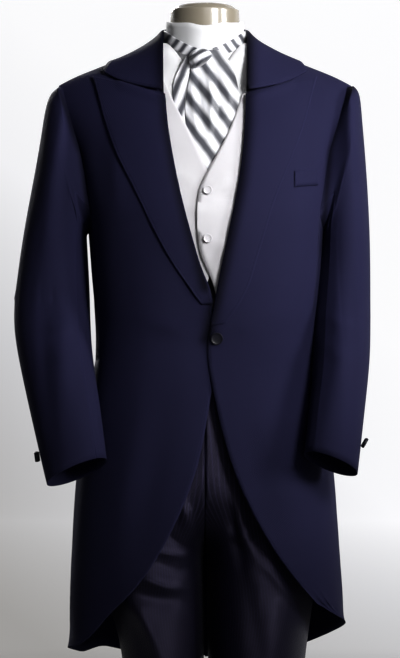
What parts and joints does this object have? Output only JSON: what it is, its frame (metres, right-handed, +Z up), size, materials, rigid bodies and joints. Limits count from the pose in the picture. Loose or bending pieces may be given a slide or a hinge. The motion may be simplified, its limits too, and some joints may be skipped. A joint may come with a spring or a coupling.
{
  "type": "cutaway tuxedo on a limbless dress form",
  "caption": "Cutaway tail coat, waistcoat, shirt front, ascot and trousers standing on a limbless dress form with a round base",
  "frame": {"origin": "On the floor, at the middle of the base plate's underside", "axes": "+Z up along the pole and the body, -Y the way the wearer faces, +X the wearer's left"},
  "size_m": [0.5747, 0.38, 1.6939],
  "materials": {
    "navy_wool": "fine napped wool, pressed",
    "horn_button": "polished dark horn",
    "white_satin": "soft satin sheen",
    "white_shirting": "pressed cotton",
    "silver_stripe": "silk with soft diagonal stripes",
    "midnight_twill": "fine striped worsted",
    "charcoal_jersey": "stretched jersey cover",
    "beige_lacquer": "glossy lacquer",
    "brushed_steel": "brushed"
  },
  "bodies": {
    "root": {"coat_forepart_left": "navy_wool", "coat_forepart_right": "navy_wool", "coat_lapel_left": "navy_wool", "coat_lapel_right": "navy_wool", "coat_side_left": "navy_wool", "coat_side_right": "navy_wool", "coat_back_left": "navy_wool", "coat_back_right": "navy_wool", "coat_skirt_left": "navy_wool", "coat_skirt_right": "navy_wool", "coat_top_sleeve_left": "navy_wool", "coat_top_sleeve_right_upper": "navy_wool", "coat_top_sleeve_right_lower": "navy_wool", "coat_under_sleeve_left": "navy_wool", "coat_under_sleeve_right": "navy_wool", "coat_collar": "navy_wool", "coat_chest_welt": "navy_wool", "coat_button_front": "horn_button", "coat_button_back_left": "horn_button", "coat_button_back_right": "horn_button", "coat_button_cuff_left": "horn_button", "coat_button_cuff_right": "horn_button", "waistcoat_front_left": "white_satin", "waistcoat_front_right": "white_satin", "waistcoat_back": "white_satin", "waistcoat_button_top": "white_satin", "waistcoat_button_low": "white_satin", "shirt_front": "white_shirting", "shirt_collar": "white_shirting", "ascot_band": "silver_stripe", "ascot_main_blade": "silver_stripe", "ascot_narrow_blade": "silver_stripe", "ascot_knot": "silver_stripe", "trouser_front_left": "midnight_twill", "trouser_front_right": "midnight_twill", "trouser_back_left": "midnight_twill", "trouser_back_right": "midnight_twill", "trouser_waistband": "midnight_twill", "form_torso": "charcoal_jersey", "form_neck": "beige_lacquer", "form_base": "brushed_steel", "form_pole": "brushed_steel"}
  },
  "joints": []
}
